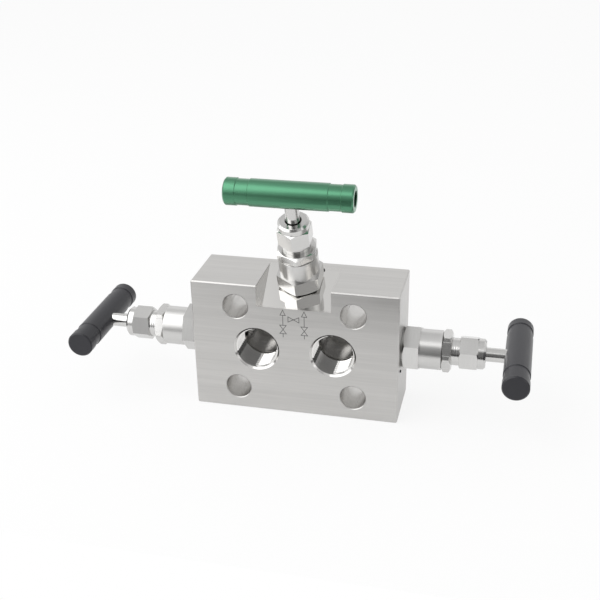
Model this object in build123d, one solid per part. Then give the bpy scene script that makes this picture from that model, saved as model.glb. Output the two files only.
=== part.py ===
from build123d import *
import math
import os

os.makedirs("parts", exist_ok=True)

# Three-valve instrument manifold: a bar-stock block, two isolating valves on its ends and an
# equalizing valve on a sloped seat in its top. Millimetres. The origin is the centre of the
# flange bolt pattern on the back face: +X along the block, +Y out of the back face, +Z up.

# ---------------------------------------------------------------- clearances
RUN_GAP = 0.05           # radial, between a moving shaft and its bore
THREAD_GAP = 0.05        # radial, between mating threads, which are modelled plain
FIT_GAP = 0.05           # radial, between a fixed insert and its pocket
SEAT_GAP = 0.3           # left between the needle's cone and the seat edge when closed
SWIVEL_GAP = 0.1         # end float of the needle's ball in the stem
SCREW_GAP = 0.05         # between the set screw and the stem that it grips

# ---------------------------------------------------------------- block
BOLT_PITCH_X = 54.0      # flange pattern of a pressure transmitter
BOLT_PITCH_Z = 41.3
BOLT_HOLE_D = 11.8
BLOCK_LENGTH = 95.0
BLOCK_HEIGHT = 63.5
BLOCK_DEPTH = 31.0
EDGE_CHAMFER = 0.5
HOLE_CHAMFER = 0.3

# ---------------------------------------------------------------- ports
PORT_PITCH = 35.4        # process ports on the front face
PORT_THREAD_D = 19.8
PORT_THREAD_DEPTH = 14.0
PORT_CHAMFER = 0.85
PORT_PILOT_D = 17.6
PORT_DEPTH = 20.0
GAUGE_PORT_D = 11.8      # instrument ports on the back face, at the bolt pitch
GAUGE_PORT_DEPTH = 6.0
SEAL_OUTER_D = 24.6      # flange seal rings round the instrument ports
SEAL_WIDTH = 3.0
SEAL_DEPTH = 2.0
FLOW_HOLE_D = 3.2        # drilling from an instrument port to its valve chamber
CROSS_HOLE_D = 3.0       # drillings from the instrument ports to the equalizing valve
CROSS_START = 4.5        # depth in the instrument port where they start

# ---------------------------------------------------------------- sloped notch in the top
NOTCH_WIDTH = 34.2
NOTCH_DEPTH = 10.0       # at the front face
NOTCH_RUN = 26.3         # from the front face to where the floor meets the top face
EQUALIZER_SETBACK = 16.6 # from the front face to the valve's axis at the floor

# ---------------------------------------------------------------- valve pocket in the block
POCKET_D = 16.0
POCKET_DEPTH = 13.0
CHAMBER_D = 8.0
CHAMBER_DEPTH = 5.0
SEAT_D = 4.0
SEAT_LENGTH = 3.5
BONNET_SEAL_THICK = 0.5
BONNET_SEAL_D = 10.0     # hole through the seal

# ---------------------------------------------------------------- bonnet
BONNET_GAP = 0.5         # between the block's face and the bonnet's hexagon
BONNET_AF = 19.0
BONNET_HEX = 7.4         # thickness of the hexagon
BARREL_D = 18.1
BARREL_LENGTH = 10.0
NECK_D = 12.5
NECK_LENGTH = 13.1
NECK_CHAMFER = 0.6
NEEDLE_BORE_D = 9.5
NEEDLE_BORE_DEPTH = 5.5
STEM_THREAD_D = 8.0
PACKING_D = 9.6          # packing chamber in the neck
BONNET_PACKING_START = 18.0

# ---------------------------------------------------------------- nuts and gland
CORNER_CUT = 0.27        # how far the turned corners' edge lies inside a hexagon's flats
LOCK_AF = 17.0
LOCK_THICK = 4.3
NUT_AF = 14.0
NUT_GAP = 3.4            # bare thread between the lock nut and the packing nut
NUT_HEX = 8.4
COLLAR_D = 13.9
COLLAR_LENGTH = 3.3
COLLAR_CHAMFER = 0.9
NUT_ROOF = 5.3           # thickness of the packing nut's end wall
NUT_HOLE_D = 7.4
PACKING_RINGS = 2
PACKING_RING = 3.9
NUT_CHAMFER = 0.6

# ---------------------------------------------------------------- stem and needle
STEM_D = 6.35
STEM_THREAD_TOP = 7.5
THREAD_RUNOUT = 1.5      # bonnet thread beyond the open stem's own
STEM_FOOT_D = 7.0
STEM_BOTTOM = 9.0        # depth of the stem's foot below the block's face
STEM_FOOT = 2.0
LIFT = 4.0               # travel from closed to open
NEEDLE_D = 7.2
NEEDLE_TIP_D = 2.0
NEEDLE_SLOPE = 30.0      # half angle of the cone
NEEDLE_NECK_D = 3.0
BALL_D = 4.0
LIP = 1.0                # thickness of the lip that holds the ball
HEAD_GAP = 0.2           # between the needle's head and the stem's foot

# ---------------------------------------------------------------- handle
HANDLE_AXIS = 51.5       # distance of the bar's axis from the face the valve stands on
HANDLE_LENGTH = 56.0
HANDLE_D = 12.0
BAND_D = 11.35           # shallow turned bands near the ends
BAND_LENGTH = 5.9
BAND_STEP = 0.3          # length of the slopes at the bands' ends
HANDLE_COLLAR = 5.1      # length of the end collars
HANDLE_CHAMFER = 0.6
STEM_SOCKET = 9.0        # depth of the stem's hole in the bar
END_BORE_D = 7.0
END_BORE_DEPTH = 14.0
SCREW_D = 6.0
SCREW_LENGTH = 8.0
SCREW_HEX = 3.0
SCREW_HEX_DEPTH = 3.5
SCREW_POINT = 1.2        # height of the chamfered point

# ---------------------------------------------------------------- bonnet locking pin
PIN_D = 1.3
PIN_GAP = 0.02           # radial, a light press fit drawn open
PIN_RADIUS = 12.0        # from the valve's axis
PIN_DEPTH = 5.0
PIN_STAND = 0.5          # height above the face

# ---------------------------------------------------------------- derived sizes
TILT = math.atan2(NOTCH_DEPTH, NOTCH_RUN)
SEAL_INNER_D = SEAL_OUTER_D - 2 * SEAL_WIDTH
TOP = BLOCK_HEIGHT / 2
FRONT = -BLOCK_DEPTH
MIDDLE = -BLOCK_DEPTH / 2
CHAMBER_END = POCKET_DEPTH + CHAMBER_DEPTH
HEX_TOP = BONNET_GAP + BONNET_HEX
BARREL_TOP = HEX_TOP + BARREL_LENGTH
NECK_TOP = BARREL_TOP + NECK_LENGTH
BONNET_FOOT = POCKET_DEPTH - BONNET_SEAL_THICK
THREAD_END = STEM_THREAD_TOP + LIFT + THREAD_RUNOUT
LOCK_TOP = BARREL_TOP + LOCK_THICK
NUT_BOTTOM = LOCK_TOP + NUT_GAP
NUT_HEX_TOP = NUT_BOTTOM + NUT_HEX
NUT_TOP = NUT_HEX_TOP + COLLAR_LENGTH
ROOF_UNDER = NUT_TOP - NUT_ROOF
PACKING_TOP = BONNET_PACKING_START + PACKING_RINGS * PACKING_RING
STEM_TOP = HANDLE_AXIS - HANDLE_D / 2 + STEM_SOCKET


def turned(*points):
    """Solid of revolution about Z through (radius, height) points."""
    return revolve(Plane.XZ * make_face(Polyline(*points, close=True)), Axis.Z)


def disc(diameter, low, high):
    """Cylinder on Z between two heights."""
    return Pos(0, 0, low) * extrude(Circle(diameter / 2), high - low)


def ring(outer, inner, low, high):
    """Tube on Z between two heights."""
    return disc(outer, low, high) - disc(inner, low, high)


def hexagon(across_flats, low, high, turn=0.0):
    """Hexagonal prism on Z between two heights."""
    outline = RegularPolygon(across_flats / 2, 6, major_radius=False, rotation=turn)
    return Pos(0, 0, low) * extrude(outline, high - low)


def chamfered_hexagon(across_flats, low, high, turn=0.0, cone_high=True):
    """Hexagonal prism whose corners are turned off at 30 degrees, always at the low end."""
    corner = across_flats / math.sqrt(3) + 0.01
    face = across_flats / 2 - CORNER_CUT
    drop = (corner - face) * math.tan(math.radians(30))
    outline = [(0, low), (face, low), (corner, low + drop)]
    outline += [(corner, high - drop), (face, high)] if cone_high else [(corner, high)]
    outline += [(0, high)]
    return hexagon(across_flats, low, high, turn) & turned(*outline)


def drilling(start, end, diameter):
    """Round hole between two points."""
    way = Vector(*end) - Vector(*start)
    plane = Plane(origin=start, z_dir=way)
    return plane * extrude(Circle(diameter / 2), way.length)


# The three valves. Each stands on its own plane: origin on the face, Z outward along the
# stem, X along the handle. The turns are those of the bonnet, lock nut and packing nut.
floor_z = TOP - NOTCH_DEPTH + EQUALIZER_SETBACK * math.tan(TILT)
VALVES = {
    "left": {
        "plane": Plane((-BLOCK_LENGTH / 2, MIDDLE, 0), x_dir=(0, 1, 0), z_dir=(-1, 0, 0)),
        "turns": (49.0, 53.0, 42.0),
        "pin": 135.0,
    },
    "right": {
        "plane": Plane((BLOCK_LENGTH / 2, MIDDLE, 0), x_dir=(0, 1, 0), z_dir=(1, 0, 0)),
        "turns": (33.0, 58.0, 38.0),
        "pin": 221.0,
    },
    "equalizer": {
        "plane": Plane(
            (0, FRONT + EQUALIZER_SETBACK, floor_z),
            x_dir=(1, 0, 0),
            z_dir=(0, -math.sin(TILT), math.cos(TILT)),
        ),
        "turns": (29.0, 39.0, 31.0),
        "pin": 43.0,
    },
}


# ================================================================ block
def valve_pocket(plane):
    """Threaded pocket, chamber and seat hole below the face that a valve stands on."""
    pocket = disc(POCKET_D, -POCKET_DEPTH, 1)
    pocket += disc(CHAMBER_D, -CHAMBER_END, -POCKET_DEPTH)
    pocket += disc(SEAT_D, -CHAMBER_END - SEAT_LENGTH, -CHAMBER_END)
    return plane * pocket


def pin_hole(valve):
    """Hole for the pin that keeps a bonnet from turning."""
    spot = Rot(0, 0, valve["pin"]) * Pos(PIN_RADIUS, 0, 0)
    return valve["plane"] * spot * disc(PIN_D, -PIN_DEPTH, 1)


def process_port(x):
    """Threaded port on the front face."""
    deep = turned(
        (0, 0),
        (PORT_THREAD_D / 2 + PORT_CHAMFER, 0),
        (PORT_THREAD_D / 2, PORT_CHAMFER),
        (PORT_THREAD_D / 2, PORT_THREAD_DEPTH),
        (PORT_PILOT_D / 2, PORT_THREAD_DEPTH),
        (PORT_PILOT_D / 2, PORT_DEPTH),
        (0, PORT_DEPTH),
    )
    return Plane((x, FRONT, 0), x_dir=(1, 0, 0), z_dir=(0, 1, 0)) * deep


def make_block():
    block = Pos(0, MIDDLE, 0) * Box(BLOCK_LENGTH, BLOCK_DEPTH, BLOCK_HEIGHT)
    block = chamfer(block.edges(), EDGE_CHAMFER)

    # the notch: a wedge that runs out on the top face
    side = make_face(Polyline(
        (FRONT - 1, TOP - NOTCH_DEPTH - math.tan(TILT)),
        (FRONT + NOTCH_RUN + 2, TOP + 2 * math.tan(TILT)),
        (FRONT - 1, TOP + 2 * math.tan(TILT)),
        close=True,
    ))
    block -= extrude(Plane.YZ * side, NOTCH_WIDTH / 2, both=True)

    # four through holes of the flange pattern, chamfered at both faces
    hole_r = BOLT_HOLE_D / 2
    bolt_hole = turned(
        (0, 0),
        (hole_r + HOLE_CHAMFER, 0),
        (hole_r, HOLE_CHAMFER),
        (hole_r, BLOCK_DEPTH - HOLE_CHAMFER),
        (hole_r + HOLE_CHAMFER, BLOCK_DEPTH),
        (0, BLOCK_DEPTH),
    )
    for x in (-BOLT_PITCH_X / 2, BOLT_PITCH_X / 2):
        for z in (-BOLT_PITCH_Z / 2, BOLT_PITCH_Z / 2):
            block -= Plane((x, FRONT, z), x_dir=(1, 0, 0), z_dir=(0, 1, 0)) * bolt_hole

    for valve in VALVES.values():
        block -= valve_pocket(valve["plane"])
        block -= pin_hole(valve)

    chamber_x = BLOCK_LENGTH / 2 - CHAMBER_END
    gauge_edge = BOLT_PITCH_X / 2 + GAUGE_PORT_D / 2
    flow_x = (chamber_x + gauge_edge) / 2
    for side in (-1, 1):
        port_x = side * PORT_PITCH / 2
        gauge_x = side * BOLT_PITCH_X / 2
        block -= process_port(port_x)
        # instrument port and the groove for its seal
        back = Plane((gauge_x, 0, 0), x_dir=(1, 0, 0), z_dir=(0, 1, 0))
        block -= back * disc(GAUGE_PORT_D, -GAUGE_PORT_DEPTH, 0)
        block -= back * ring(SEAL_OUTER_D, SEAL_INNER_D, -SEAL_DEPTH, 0)
        # process port to seat, then chamber to instrument port
        block -= drilling((side * chamber_x, MIDDLE, 0), (port_x, MIDDLE, 0), SEAT_D)
        block -= drilling(
            (side * flow_x, -GAUGE_PORT_DEPTH + 1, 0), (side * flow_x, MIDDLE, 0), FLOW_HOLE_D
        )

    # one side joins the equalizing valve's chamber, the other its seat hole
    plane = VALVES["equalizer"]["plane"]
    into_chamber = CHAMBER_END - CHAMBER_DEPTH / 2
    into_seat = CHAMBER_END + 0.75 * SEAT_LENGTH
    for side, depth in ((1, into_chamber), (-1, into_seat)):
        target = plane.origin - plane.z_dir * depth
        start = (side * BOLT_PITCH_X / 2, -CROSS_START, 0)
        block -= drilling(start, (target.X, target.Y, target.Z), CROSS_HOLE_D)
    return block


def make_flange_seals():
    """Two seal rings, flush with the back face."""
    seal = ring(SEAL_OUTER_D - 2 * FIT_GAP, SEAL_INNER_D + 2 * FIT_GAP, -SEAL_DEPTH, 0)
    return [
        Plane((x, 0, 0), x_dir=(1, 0, 0), z_dir=(0, 1, 0)) * seal
        for x in (-BOLT_PITCH_X / 2, BOLT_PITCH_X / 2)
    ]


# ================================================================ one valve, on its own axis
def make_bonnet(turn):
    body = disc(POCKET_D - 2 * THREAD_GAP, -BONNET_FOOT, BONNET_GAP)
    body += chamfered_hexagon(BONNET_AF, BONNET_GAP, HEX_TOP, turn, cone_high=False)
    body += disc(BARREL_D, HEX_TOP, BARREL_TOP)
    neck_r = NECK_D / 2
    body += turned(
        (0, BARREL_TOP),
        (neck_r, BARREL_TOP),
        (neck_r, NECK_TOP - NECK_CHAMFER),
        (neck_r - NECK_CHAMFER, NECK_TOP),
        (0, NECK_TOP),
    )
    body -= disc(NEEDLE_BORE_D, -BONNET_FOOT, -BONNET_FOOT + NEEDLE_BORE_DEPTH)
    body -= disc(STEM_THREAD_D + 2 * THREAD_GAP, -BONNET_FOOT, THREAD_END)
    body -= disc(STEM_D + 2 * RUN_GAP, THREAD_END, BONNET_PACKING_START)
    body -= disc(PACKING_D, BONNET_PACKING_START, NECK_TOP)
    return body


def make_bonnet_seal():
    return ring(POCKET_D - 4 * FIT_GAP, BONNET_SEAL_D, -POCKET_DEPTH, -BONNET_FOOT)


def make_lock_nut(turn):
    nut = chamfered_hexagon(LOCK_AF, BARREL_TOP, LOCK_TOP, turn)
    return nut - disc(NECK_D + 2 * THREAD_GAP, BARREL_TOP, LOCK_TOP)


def make_packing_nut(turn):
    collar_r = COLLAR_D / 2
    corner = NUT_AF / math.sqrt(3) + 0.01
    envelope = turned(
        (0, NUT_BOTTOM),
        (collar_r, NUT_BOTTOM),
        (corner, NUT_BOTTOM + NUT_CHAMFER),
        (corner, NUT_HEX_TOP - NUT_CHAMFER),
        (collar_r, NUT_HEX_TOP),
        (0, NUT_HEX_TOP),
    )
    nut = hexagon(NUT_AF, NUT_BOTTOM, NUT_HEX_TOP, turn) & envelope
    nut += turned(
        (0, NUT_HEX_TOP),
        (collar_r, NUT_HEX_TOP),
        (collar_r, NUT_TOP - COLLAR_CHAMFER),
        (collar_r - COLLAR_CHAMFER, NUT_TOP),
        (0, NUT_TOP),
    )
    nut -= disc(NECK_D + 2 * THREAD_GAP, NUT_BOTTOM, ROOF_UNDER)
    nut -= disc(NUT_HOLE_D, ROOF_UNDER, NUT_TOP)
    return nut


def make_packing():
    """Stack of square rings round the stem."""
    outer = PACKING_D - 2 * FIT_GAP
    inner = STEM_D + 2 * RUN_GAP
    return [
        ring(outer, inner, BONNET_PACKING_START + i * PACKING_RING,
             BONNET_PACKING_START + (i + 1) * PACKING_RING)
        for i in range(PACKING_RINGS)
    ]


def make_gland():
    """Bush that the packing nut pushes down on the packing."""
    return ring(PACKING_D - 2 * FIT_GAP, STEM_D + 4 * RUN_GAP, PACKING_TOP, ROOF_UNDER)


def make_stem():
    """Stem with its threaded collar, and a foot that holds the needle's ball."""
    thread_r = STEM_THREAD_D / 2
    stem_r = STEM_D / 2
    foot_r = STEM_FOOT_D / 2
    foot_top = -STEM_BOTTOM + STEM_FOOT
    stem = turned(
        (0, -STEM_BOTTOM),
        (foot_r, -STEM_BOTTOM),
        (foot_r, foot_top),
        (thread_r, foot_top + thread_r - foot_r),
        (thread_r, STEM_THREAD_TOP - thread_r + stem_r),
        (stem_r, STEM_THREAD_TOP),
        (stem_r, STEM_TOP),
        (0, STEM_TOP),
    )
    lip_top = -STEM_BOTTOM + LIP
    stem -= disc(NEEDLE_NECK_D + 4 * RUN_GAP, -STEM_BOTTOM, lip_top)
    stem -= disc(BALL_D + 2 * RUN_GAP, lip_top, lip_top + BALL_D)
    return stem


def make_needle():
    """Needle that lifts without turning: cone, head, neck and captive ball."""
    slope = math.tan(math.radians(NEEDLE_SLOPE))
    seat_r = SEAT_D / 2 - SEAT_GAP / math.cos(math.radians(NEEDLE_SLOPE))
    cone_top = -CHAMBER_END + (NEEDLE_D / 2 - seat_r) / slope
    cone_end = cone_top - (NEEDLE_D - NEEDLE_TIP_D) / 2 / slope
    head_top = -STEM_BOTTOM - HEAD_GAP
    ball_centre = -STEM_BOTTOM + LIP + BALL_D / 2 - SWIVEL_GAP
    needle = turned(
        (0, cone_end),
        (NEEDLE_TIP_D / 2, cone_end),
        (NEEDLE_D / 2, cone_top),
        (NEEDLE_D / 2, head_top),
        (NEEDLE_NECK_D / 2, head_top),
        (NEEDLE_NECK_D / 2, ball_centre),
        (0, ball_centre),
    )
    return needle + Pos(0, 0, ball_centre) * Sphere(BALL_D / 2)


def make_handle():
    """T-bar along X with end collars, turned bands, stem socket and one bored end."""
    end = HANDLE_LENGTH / 2
    bar_r = HANDLE_D / 2
    band_r = BAND_D / 2
    collar = end - HANDLE_COLLAR
    band = collar - BAND_LENGTH
    half = [
        (bar_r, band),
        (band_r, band + BAND_STEP),
        (band_r, collar - BAND_STEP),
        (bar_r, collar),
        (bar_r, end - HANDLE_CHAMFER),
        (bar_r - HANDLE_CHAMFER, end),
    ]
    mirrored = [(r, -s) for r, s in reversed(half)]
    bar = turned((0, -end), *mirrored, *half, (0, end))
    bar -= disc(END_BORE_D, end - END_BORE_DEPTH, end)
    bar -= disc(SCREW_D + 2 * THREAD_GAP, 0, end - END_BORE_DEPTH)
    bar = Pos(0, 0, HANDLE_AXIS) * Rot(0, 90, 0) * bar
    return bar - disc(STEM_D + 2 * FIT_GAP, HANDLE_AXIS - bar_r - 1, STEM_TOP)


def make_handle_screw():
    """Socket set screw in the bar's bore, its point on the stem."""
    low = STEM_D / 2 + SCREW_GAP
    high = low + SCREW_LENGTH
    screw_r = SCREW_D / 2
    screw = turned(
        (0, low),
        (screw_r - SCREW_POINT, low),
        (screw_r, low + SCREW_POINT),
        (screw_r, high),
        (0, high),
    )
    screw -= hexagon(SCREW_HEX, high - SCREW_HEX_DEPTH, high)
    return Pos(0, 0, HANDLE_AXIS) * Rot(0, 90, 0) * screw


def make_lock_pin(angle):
    """Pin beside the bonnet's hexagon."""
    pin = disc(PIN_D - 2 * PIN_GAP, -PIN_DEPTH, PIN_STAND)
    return Rot(0, 0, angle) * Pos(PIN_RADIUS, 0, 0) * pin


def save(name, shapes, plane=None):
    """Write one node: a solid, or a group of like solids."""
    shapes = shapes if isinstance(shapes, list) else [shapes]
    solids = [solid for shape in shapes for solid in shape.solids()]
    if plane is not None:
        solids = [plane.location * solid for solid in solids]
    for solid in solids:
        assert solid.is_valid and solid.volume > 0, name
    node = solids[0] if len(solids) == 1 else Compound(children=solids)
    node.label = name
    export_step(node, f"parts/{name}.step")


save("block", make_block())
save("flange_seals", make_flange_seals())
for name, valve in VALVES.items():
    bonnet_turn, lock_turn, nut_turn = valve["turns"]
    place = valve["plane"]
    save(f"{name}_bonnet", make_bonnet(bonnet_turn), place)
    save(f"{name}_bonnet_seal", make_bonnet_seal(), place)
    save(f"{name}_lock_nut", make_lock_nut(lock_turn), place)
    save(f"{name}_packing_nut", make_packing_nut(nut_turn), place)
    save(f"{name}_packing", make_packing(), place)
    save(f"{name}_gland", make_gland(), place)
    save(f"{name}_stem", make_stem(), place)
    save(f"{name}_needle", make_needle(), place)
    save(f"{name}_handle", make_handle(), place)
    save(f"{name}_handle_screw", make_handle_screw(), place)
    save(f"{name}_lock_pin", make_lock_pin(valve["pin"]), place)
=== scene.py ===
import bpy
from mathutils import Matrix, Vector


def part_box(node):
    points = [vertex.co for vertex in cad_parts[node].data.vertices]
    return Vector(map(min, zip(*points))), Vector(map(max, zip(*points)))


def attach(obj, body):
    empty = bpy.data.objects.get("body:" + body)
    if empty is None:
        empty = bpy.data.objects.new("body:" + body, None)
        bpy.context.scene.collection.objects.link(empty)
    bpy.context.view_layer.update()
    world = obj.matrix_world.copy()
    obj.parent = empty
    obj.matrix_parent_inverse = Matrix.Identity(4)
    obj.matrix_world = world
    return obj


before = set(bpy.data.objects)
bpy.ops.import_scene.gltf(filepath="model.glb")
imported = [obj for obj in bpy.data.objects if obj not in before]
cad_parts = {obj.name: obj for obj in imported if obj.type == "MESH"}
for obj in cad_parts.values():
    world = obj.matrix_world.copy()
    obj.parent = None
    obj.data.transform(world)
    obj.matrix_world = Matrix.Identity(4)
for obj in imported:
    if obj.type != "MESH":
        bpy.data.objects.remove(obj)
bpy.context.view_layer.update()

import math

import bmesh
import bpy
from mathutils import Matrix, Vector

# ---------------------------------------------------------------- block and notch, in metres
BLOCK_LOW, BLOCK_HIGH = (Vector(corner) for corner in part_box("block"))
MIDDLE_Y = (BLOCK_LOW.y + BLOCK_HIGH.y) / 2
NOTCH_DEPTH = 0.0100     # at the front face
NOTCH_RUN = 0.0263       # from the front face to where the notch's floor meets the top
NOTCH_LOW = 0.018        # height above the origin, below all of the notch's floor
TILT = math.atan2(NOTCH_DEPTH, NOTCH_RUN)

# ---------------------------------------------------------------- valves: foot and axis of each
EQUALIZER_SETBACK = 0.0166   # from the front face to the valve's axis at the notch's floor
TOP_AXIS = Vector((0, -math.sin(TILT), math.cos(TILT)))
TOP_FOOT = Vector((
    0,
    BLOCK_LOW.y + EQUALIZER_SETBACK,
    BLOCK_HIGH.z - NOTCH_DEPTH + EQUALIZER_SETBACK * math.tan(TILT),
))
VALVES = {
    "left": (Vector((BLOCK_LOW.x, MIDDLE_Y, 0)), Vector((-1, 0, 0))),
    "right": (Vector((BLOCK_HIGH.x, MIDDLE_Y, 0)), Vector((1, 0, 0))),
    "equalizer": (TOP_FOOT, TOP_AXIS),
}
STEEL_PIECES = ("bonnet", "lock_nut", "packing_nut", "gland", "stem", "needle")
BARREL_RADIUS = 0.00905
NECK_RADIUS = 0.00625
NECK_THREAD_START = 0.0181   # along the valve, just above the barrel's top
NECK_PITCH = 0.0010      # of the thread on the neck

# ---------------------------------------------------------------- process ports
PORT_X = 0.0177
MOUTH_RADIUS = 0.0107    # just inside the countersink's edge
MOUTH_DEPTH = 0.0009     # just below the countersink and the block's chamfers
THREAD_PITCH = 0.001814
THREAD_START = BLOCK_LOW.y + MOUTH_DEPTH
THREAD_END = BLOCK_LOW.y + 0.0139   # just short of the bore's step
THREAD_ROOT = 0.00988    # just clear of the bore's wall
THREAD_CREST = 0.0091
THREAD_FLAT = 0.05       # half of the crest's width, in pitches
THREAD_FLANK = 60        # degrees between a flank and the bore's wall
THREAD_SEGMENTS = 48

# ---------------------------------------------------------------- etched flow diagram
ETCHING_LIFT = 0.00001   # in front of the block's face
LINE_WIDTH = 0.00032
LINE_X = 0.0049          # of the two upright lines
LINE_FOOT = 0.0075
ARROW_FOOT = 0.0184
ARROW_TIP = 0.0210
ARROW_HALF = 0.0012
ISOLATING_Z = 0.0113
ISOLATING_LENGTH = 0.0042
ISOLATING_HALF = 0.0015
EQUALIZING_Z = 0.0166
EQUALIZING_LENGTH = 0.0050
EQUALIZING_HALF = 0.0013

# ---------------------------------------------------------------- studio
FLOOR_HALF = 1.6
FLOOR_FRONT = -0.14      # front edge of the paper
FLOOR_GAP = 0.0002       # between the block's foot and the paper
FLOOR_GLOW = 0.85        # share of plain white in what the camera sees of the paper
MIRRORED_GLOW = 0.5      # the same in what the metal mirrors


# ================================================================ shader maths
class Socket:
    """A shader output that can be written in sums."""

    def __init__(self, graph, link):
        self.graph = graph
        self.link = link

    def math(self, operation, *values):
        return self.graph.node("ShaderNodeMath", {"operation": operation}, self, *values)

    def __add__(self, other):
        return self.math("ADD", other)

    def __radd__(self, other):
        return self.math("ADD", other)

    def __sub__(self, other):
        return self.math("SUBTRACT", other)

    def __rsub__(self, other):
        return self.graph.node("ShaderNodeMath", {"operation": "SUBTRACT"}, other, self)

    def __mul__(self, other):
        return self.math("MULTIPLY", other)

    def __rmul__(self, other):
        return self.math("MULTIPLY", other)

    def __truediv__(self, other):
        return self.math("DIVIDE", other)

    def __lt__(self, other):
        return self.math("LESS_THAN", other)

    def __gt__(self, other):
        return self.math("GREATER_THAN", other)

    def __abs__(self):
        return self.math("ABSOLUTE")

    def other(self, name):
        """Another output of the same node."""
        return Socket(self.graph, self.link.node.outputs[name])


class Graph:
    """A node tree that is written as sums."""

    def __init__(self, owner):
        owner.use_nodes = True
        self.nodes = owner.node_tree.nodes
        self.links = owner.node_tree.links

    def node(self, kind, settings=None, *values, named=None, output=0):
        """Adds one node, sets it, then fills its inputs by position and by name."""
        made = self.nodes.new(kind)
        for key, value in (settings or {}).items():
            setattr(made, key, value)
        pairs = list(enumerate(values)) + list((named or {}).items())
        for key, value in pairs:
            if isinstance(value, Socket):
                self.links.new(value.link, made.inputs[key])
            elif value is not None:
                made.inputs[key].default_value = value
        return Socket(self, made.outputs[output])

    def vector(self, operation, *values, output=0):
        return self.node("ShaderNodeVectorMath", {"operation": operation}, *values, output=output)

    def axes(self, vector):
        """The x, y and z of a vector."""
        x = self.node("ShaderNodeSeparateXYZ", None, vector)
        return x, x.other("Y"), x.other("Z")

    def noise(self, place, scale, detail=2.0, roughness=0.5):
        inputs = {"Vector": place, "Scale": scale, "Detail": detail, "Roughness": roughness}
        return self.node("ShaderNodeTexNoise", None, named=inputs)

    def mix(self, factor, a, b):
        settings = {"data_type": "RGBA"}
        return self.node("ShaderNodeMix", settings, named={0: factor, 6: a, 7: b}, output=2)

    def ramp(self, value, low, high):
        """0 below low, 1 above high."""
        settings = {"interpolation_type": "SMOOTHSTEP"}
        return self.node("ShaderNodeMapRange", settings, value, low, high)


class Finish(Graph):
    """A procedural material on the Principled shader."""

    def __init__(self, name, **constants):
        self.material = bpy.data.materials.new(name)
        super().__init__(self.material)
        self.shader = self.nodes["Principled BSDF"]
        for key, value in constants.items():
            self.shader.inputs[key.replace("_", " ")].default_value = value
        self.place = self.node("ShaderNodeTexCoord").other("Object")
        self.normal = self.place.other("Normal")

    def stretched(self, stretch):
        """Object coordinates scaled by axis, for grain."""
        return self.vector("MULTIPLY", self.place, stretch)

    def bump(self, height, distance, strength=1.0):
        inputs = {"Height": height, "Distance": distance, "Strength": strength}
        return self.node("ShaderNodeBump", None, named=inputs)

    def feed(self, **inputs):
        for key, value in inputs.items():
            self.links.new(value.link, self.shader.inputs[key.replace("_", " ")])
        return self.material


# ================================================================ finishes
def block_finish():
    """Ground bar stock: grain along the bar and a smoother milled notch, with painted highlights:
    the notch's floor, the bores and their mouths are painted lighter for the light on them.
    """
    f = Finish("ground_bar", Metallic=1.0)
    x, y, z = f.axes(f.place)
    nx, ny, nz = f.axes(f.normal)
    fine = f.noise(f.stretched((40, 1500, 1500)), 1.0, 3.0, 0.6)
    broad = f.noise(f.stretched((9, 380, 380)), 1.0, 2.0, 0.5)
    end_fine = f.noise(f.stretched((900, 140, 1500)), 1.0, 3.0, 0.6)
    on_end = abs(nx) > 0.9
    grain = fine + on_end * (end_fine - fine)
    cloud = f.noise(f.place, 28.0, 3.0)

    half = (BLOCK_HIGH - BLOCK_LOW) / 2
    inset_x = abs(x) - half.x
    inset_y = abs(y - MIDDLE_Y) - half.y
    inset_z = abs(z) - half.z
    depth = inset_x.math("MAXIMUM", inset_y).math("MAXIMUM", inset_z)
    inside = depth < -MOUTH_DEPTH
    slope = f.vector("DOT_PRODUCT", f.normal, tuple(TOP_AXIS), output="Value")
    on_slope = (slope > 0.995) * (z > NOTCH_LOW)
    off_port = abs(x) - PORT_X
    radius = (off_port * off_port + z * z).math("SQRT")
    mouth = (radius < MOUTH_RADIUS) * (y < BLOCK_LOW.y + MOUTH_DEPTH)

    shade = 0.84 + 0.34 * (grain - 0.5) + 0.26 * (broad - 0.5) + 0.10 * (cloud - 0.5)
    # painted highlight: the notch's floor and the ports' mouths are painted lighter, in place of
    # the light that falls on them
    shade = shade + on_slope * 0.28 + mouth * 0.28
    steel = f.mix(shade, (0.30, 0.297, 0.290, 1), (0.66, 0.65, 0.635, 1))
    # painted highlight: the notch's floor, and a little the insides of the bores, are painted
    # towards pale steel for the light on them; the milled floor's real smoothness is in the
    # roughness below
    steel = f.mix(on_slope * 0.5 + inside * 0.1, steel, (0.86, 0.85, 0.83, 1))
    rough = 0.36 + 0.14 * (grain - 0.5) + 0.06 * (cloud - 0.5)
    rough = rough - inside * 0.14 - on_slope * 0.20 - mouth * 0.20
    bump = f.bump((grain - 0.5) * (1 - inside), 0.00001, 0.6)
    return f.feed(Base_Color=steel, Roughness=rough, Normal=bump)


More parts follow.
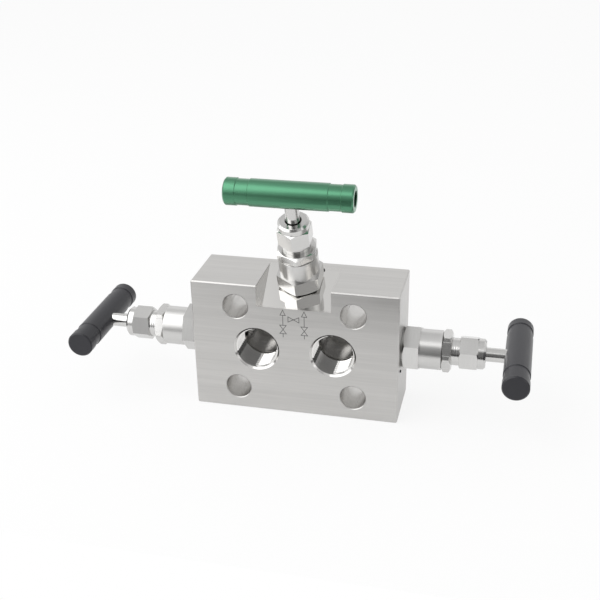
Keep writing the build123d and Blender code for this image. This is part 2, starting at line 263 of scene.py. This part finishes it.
def turned_finish(name, origin, axis, dark, light):
    """Bright turned steel: fine rings round the valve's axis, a duller barrel, and a cut thread
    on the bonnet's neck."""
    f = Finish(name, Metallic=1.0)
    across = axis.orthogonal().normalized()
    beyond = axis.cross(across)
    local = f.vector("SUBTRACT", f.place, tuple(origin))
    along = f.vector("DOT_PRODUCT", local, tuple(axis), output="Value")
    side = f.vector("DOT_PRODUCT", local, tuple(across), output="Value")
    depth = f.vector("DOT_PRODUCT", local, tuple(beyond), output="Value")
    radius = (side * side + depth * depth).math("SQRT")
    angle = depth.math("ARCTAN2", side) / (2 * math.pi)
    ring_place = f.node("ShaderNodeCombineXYZ", None, along * 5200, radius * 900, 0.0)
    rings = f.noise(ring_place, 1.0, 2.0)
    cloud = f.noise(f.place, 70.0, 3.0)
    shade = 0.5 + 0.5 * (rings - 0.5) + 0.5 * (cloud - 0.5)
    steel = f.mix(shade, dark, light)
    on_barrel = abs(radius - BARREL_RADIUS) < 0.00007
    rough = 0.17 + 0.13 * on_barrel + 0.10 * (rings - 0.5) + 0.10 * (cloud - 0.5)
    on_wall = (radius < NECK_RADIUS + 0.00002) * (radius > NECK_RADIUS - 0.00015)
    on_neck = on_wall * (along > NECK_THREAD_START)
    turns = (along / NECK_PITCH - angle).math("FRACT")
    ridge = 1 - abs(turns - 0.5) * 2
    height = (rings - 0.5) * 0.03 + ridge * on_neck * 0.12
    bump = f.bump(height, 0.0003, 0.7)
    return f.feed(Base_Color=steel, Roughness=rough, Normal=bump)


def anodised_finish(name, dark, light, roughness, metallic, coat):
    """Anodised aluminium with a fine mottle and a slightly uneven sheen."""
    constants = {"Coat_Weight": coat, "Coat_Roughness": 0.3, "Specular_IOR_Level": 0.43}
    f = Finish(name, Metallic=metallic, **constants)
    fine = f.noise(f.place, 900.0, 2.0)
    cloud = f.noise(f.place, 60.0, 3.0)
    colour = f.mix(0.5 + 0.6 * (cloud - 0.5) + 0.3 * (fine - 0.5), dark, light)
    rough = roughness + 0.08 * (cloud - 0.5) + 0.06 * (fine - 0.5)
    bump = f.bump(fine, 0.000004, 0.3)
    return f.feed(Base_Color=colour, Roughness=rough, Normal=bump)


def plain_finish(name, dark, light, roughness, metallic=0.0, scale=400.0):
    """One tone with a fine mottle: seals, small dark steel, the etching and the cut threads."""
    f = Finish(name, Metallic=metallic)
    mottle = f.noise(f.place, scale, 3.0)
    colour = f.mix(mottle, dark, light)
    return f.feed(Base_Color=colour, Roughness=roughness + 0.1 * (mottle - 0.5))


def paint(node, material):
    """Puts a finish on every slot of a CAD node."""
    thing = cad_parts[node]
    if not thing.material_slots:
        thing.data.materials.append(material)
    for slot in thing.material_slots:
        slot.material = material


def paint_everything():
    paint("block", block_finish())
    ptfe = plain_finish(
        "ptfe",
        dark=(0.70, 0.70, 0.67, 1),
        light=(0.86, 0.86, 0.83, 1),
        roughness=0.45,
    )
    oxide = plain_finish(
        "dark_oxide",
        dark=(0.03, 0.03, 0.032, 1),
        light=(0.09, 0.09, 0.095, 1),
        roughness=0.4,
        metallic=0.8,
    )
    black = anodised_finish(
        "black_anodised",
        dark=(0.022, 0.022, 0.027, 1),
        light=(0.028, 0.028, 0.034, 1),
        roughness=0.32,
        metallic=0.0,
        coat=0.0,
    )
    green = anodised_finish(
        "green_anodised",
        dark=(0.070, 0.245, 0.136, 1),
        light=(0.088, 0.290, 0.162, 1),
        roughness=0.30,
        metallic=1.0,
        coat=0.6,
    )
    paint("flange_seals", ptfe)
    for name, (origin, axis) in VALVES.items():
        bright = turned_finish(
            f"bright_steel_{name}",
            origin,
            axis,
            dark=(0.56, 0.555, 0.545, 1),
            light=(0.76, 0.755, 0.745, 1),
        )
        for piece in STEEL_PIECES:
            paint(f"{name}_{piece}", bright)
        for piece in ("bonnet_seal", "packing"):
            paint(f"{name}_{piece}", ptfe)
        for piece in ("handle_screw", "lock_pin"):
            paint(f"{name}_{piece}", oxide)
        paint(f"{name}_handle", green if name == "equalizer" else black)


# ================================================================ etched flow diagram
def ribbon(bm, start, end):
    """Flat strip between two (x, z) points, just clear of the front face."""
    a = Vector((start[0], 0, start[1]))
    b = Vector((end[0], 0, end[1]))
    way = (b - a).normalized()
    out = Vector((way.z, 0, -way.x)) * LINE_WIDTH / 2
    a -= way * LINE_WIDTH / 2
    b += way * LINE_WIDTH / 2
    y = BLOCK_LOW.y - ETCHING_LIFT
    corners = [a - out, b - out, b + out, a + out]
    bm.faces.new([bm.verts.new((c.x, y, c.z)) for c in corners])


def outline(bm, points):
    """Closed line through (x, z) points."""
    for start, end in zip(points, points[1:] + points[:1]):
        ribbon(bm, start, end)


def valve_symbol(bm, x, z, length, half, upright):
    """Two triangles, point to point."""
    for s in (-1, 1):
        far = s * length / 2
        if upright:
            points = [(x, z), (x - half, z + far), (x + half, z + far)]
        else:
            points = [(x, z), (x + far, z - half), (x + far, z + half)]
        outline(bm, points)


def etched_diagram():
    """Generic diagram of two isolating valves and one equalizing valve."""
    bm = bmesh.new()
    symbol_foot = ISOLATING_Z - ISOLATING_LENGTH / 2
    symbol_top = ISOLATING_Z + ISOLATING_LENGTH / 2
    for x in (-LINE_X, LINE_X):
        valve_symbol(bm, x, ISOLATING_Z, ISOLATING_LENGTH, ISOLATING_HALF, upright=True)
        ribbon(bm, (x, LINE_FOOT), (x, symbol_foot))
        ribbon(bm, (x, symbol_top), (x, ARROW_FOOT))
        arrow = [(x, ARROW_TIP), (x - ARROW_HALF, ARROW_FOOT), (x + ARROW_HALF, ARROW_FOOT)]
        outline(bm, arrow)
    valve_symbol(bm, 0.0, EQUALIZING_Z, EQUALIZING_LENGTH, EQUALIZING_HALF, upright=False)
    bmesh.ops.recalc_face_normals(bm, faces=bm.faces)
    for face in bm.faces:
        if face.normal.y > 0:
            face.normal_flip()
    mesh = bpy.data.meshes.new("flow_diagram")
    bm.to_mesh(mesh)
    bm.free()
    diagram = bpy.data.objects.new("flow_diagram", mesh)
    bpy.context.collection.objects.link(diagram)
    mesh.materials.append(plain_finish(
        "etched_grey",
        dark=(0.12, 0.12, 0.12, 1),
        light=(0.22, 0.22, 0.215, 1),
        roughness=0.6,
        metallic=0.3,
        scale=2500.0,
    ))
    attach(diagram, "manifold")


# ================================================================ pipe threads of the ports
def port_thread(name, x, material):
    """One helical thread on the wall of a process port."""
    turns = (THREAD_END - THREAD_START) / THREAD_PITCH
    steps = int(turns * THREAD_SEGMENTS)
    flank = (THREAD_ROOT - THREAD_CREST) / math.tan(math.radians(THREAD_FLANK)) / THREAD_PITCH
    profile = (
        (THREAD_ROOT, -0.5),
        (THREAD_ROOT, -flank - THREAD_FLAT),
        (THREAD_CREST, -THREAD_FLAT),
        (THREAD_CREST, THREAD_FLAT),
        (THREAD_ROOT, flank + THREAD_FLAT),
        (THREAD_ROOT, 0.5),
    )
    bm = bmesh.new()
    rows = []
    for step in range(steps + 1):
        angle = 2 * math.pi * step / THREAD_SEGMENTS
        centre = THREAD_START + THREAD_PITCH * step / THREAD_SEGMENTS
        row = []
        for radius, offset in profile:
            depth = min(max(centre + offset * THREAD_PITCH, THREAD_START), THREAD_END)
            place = (x + radius * math.cos(angle), depth, -radius * math.sin(angle))
            row.append(bm.verts.new(place))
        rows.append(row)
    for row, after in zip(rows, rows[1:]):
        for i in range(len(profile) - 1):
            bm.faces.new([row[i], row[i + 1], after[i + 1], after[i]])
    bmesh.ops.remove_doubles(bm, verts=bm.verts, dist=0.000001)
    bm.normal_update()
    for face in bm.faces:
        middle = face.calc_center_median()
        if face.normal.dot(Vector((middle.x - x, 0, middle.z))) > 0:
            face.normal_flip()
    mesh = bpy.data.meshes.new(name)
    bm.to_mesh(mesh)
    bm.free()
    thread = bpy.data.objects.new(name, mesh)
    bpy.context.collection.objects.link(thread)
    mesh.materials.append(material)
    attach(thread, "manifold")


def port_threads():
    cut = plain_finish(
        "cut_thread",
        dark=(0.74, 0.73, 0.715, 1),
        light=(0.86, 0.85, 0.83, 1),
        roughness=0.08,
        metallic=1.0,
        scale=900.0,
    )
    port_thread("process_thread_left", -PORT_X, cut)
    port_thread("process_thread_right", PORT_X, cut)


# ================================================================ camera, floor and light
def make_camera():
    data = bpy.data.cameras.new("camera")
    data.sensor_width = 36.0
    data.lens = 61.19
    data.shift_x = 0.00385
    data.shift_y = -0.00085
    stand = (0.09842, -0.42411, 0.22257)
    yaw, pitch, roll = 0.240155, 0.450295, -0.0196016
    ahead = Vector((
        -math.sin(yaw) * math.cos(pitch), math.cos(yaw) * math.cos(pitch), -math.sin(pitch)
    ))
    right = Vector((math.cos(yaw), math.sin(yaw), 0))
    down = -right.cross(ahead)
    c, s = math.cos(roll), math.sin(roll)
    right, down = c * right - s * down, s * right + c * down
    camera = bpy.data.objects.new("camera", data)
    bpy.context.collection.objects.link(camera)
    turn = Matrix((right, -down, -ahead)).transposed().to_4x4()
    camera.matrix_world = Matrix.Translation(stand) @ turn
    bpy.context.scene.camera = camera


def make_floor():
    """Pale paper that is nearly white to the camera and in the metal, with a soft shadow."""
    bm = bmesh.new()
    bmesh.ops.create_grid(bm, x_segments=1, y_segments=1, size=FLOOR_HALF)
    mesh = bpy.data.meshes.new("floor")
    bm.to_mesh(mesh)
    bm.free()
    floor = bpy.data.objects.new("floor", mesh)
    floor.location = (0, FLOOR_FRONT + FLOOR_HALF, BLOCK_LOW.z - FLOOR_GAP)
    bpy.context.collection.objects.link(floor)
    f = Finish("floor_paper", Roughness=0.9, Specular_IOR_Level=0.0)
    tone = f.noise(f.place, 3.0, 2.0)
    paper = f.mix(tone, (0.90, 0.90, 0.90, 1), (0.92, 0.92, 0.92, 1))
    mesh.materials.append(f.feed(Base_Color=paper))
    seen = f.node("ShaderNodeLightPath")
    mirrored = seen.other("Is Glossy Ray") + seen.other("Is Transmission Ray")
    glow = seen * FLOOR_GLOW + mirrored * MIRRORED_GLOW
    white = f.node("ShaderNodeEmission", None, (1, 1, 1, 1), 1.0)
    diffuse = Socket(f, f.shader.outputs[0])
    shown = f.node("ShaderNodeMixShader", None, glow, diffuse, white)
    f.links.new(shown.link, f.nodes["Material Output"].inputs["Surface"])


def area_light(name, place, aim, size, power):
    data = bpy.data.lights.new(name, "AREA")
    data.shape = "RECTANGLE"
    data.size, data.size_y = size
    data.energy = power
    light = bpy.data.objects.new(name, data)
    light.location = place
    light.rotation_euler = (Vector(aim) - Vector(place)).to_track_quat("-Z", "Y").to_euler()
    bpy.context.collection.objects.link(light)


def make_world():
    """Soft white surroundings, as the metal mirrors them: x to the right, y to the back, z up.
    The camera itself sees plain white."""
    world = bpy.data.worlds.new("studio")
    bpy.context.scene.world = world
    g = Graph(world)
    x, y, z = g.axes(g.node("ShaderNodeTexCoord").other("Generated"))

    # pale walls and ceiling, dimmer high at the back and on the right
    back = g.ramp(y, 0.3, 0.6)
    walls = 0.86 + 0.08 * back - 0.13 * g.ramp(z, 0.6, 1.0)
    walls = walls - 0.20 * back * g.ramp(z, 0.55, 0.70)
    walls = walls - 0.30 * g.ramp(x, 0.25, 0.50) * g.ramp(z, 0.2, 0.5)

    # a dark room in front, from the left panel to a slanting edge on the right
    slant = x + 0.5 * z.math("MAXIMUM", 0.0)
    room = g.ramp(0 - y, 0.2, 0.5) * g.ramp(x, -0.26, -0.20) * (1 - g.ramp(slant, 0.60, 0.70))
    walls = walls * (1 - 0.80 * room * (1 - g.ramp(z, 0.58, 0.76)))

    # a broad white panel on the left, which fades to the back and towards the horizon
    panel = g.ramp(0 - x, 0.22, 0.28) * (1 - g.ramp(y, 0.2, 0.45))
    walls = walls + panel * (0.64 + 0.42 * g.ramp(z, 0.1, 0.28) - walls)

    # dark below the horizon, apart from the panel's lower part
    below = 0.06 + panel * (0.50 + 0.70 * g.ramp(0 - z, 0.1, 0.3))
    level = below + (walls - below) * g.ramp(z, 0.0, 0.05)

    seen = g.node("ShaderNodeLightPath")
    level = level + seen * (1 - level)
    colour = g.node("ShaderNodeCombineColor", None, level, level, level)
    g.links.new(colour.link, g.nodes["Background"].inputs["Color"])


def make_light():
    area_light("key", place=(-0.60, -0.38, 0.58), aim=(0, 0, 0), size=(1.20, 1.20), power=5.0)
    area_light("fill", place=(0.75, -0.25, 0.45), aim=(0, 0, 0.02), size=(0.4, 0.6), power=0.5)


make_camera()
make_floor()
make_world()
make_light()
paint_everything()
etched_diagram()
port_threads()

scene = bpy.context.scene
scene.view_settings.view_transform = "Standard"
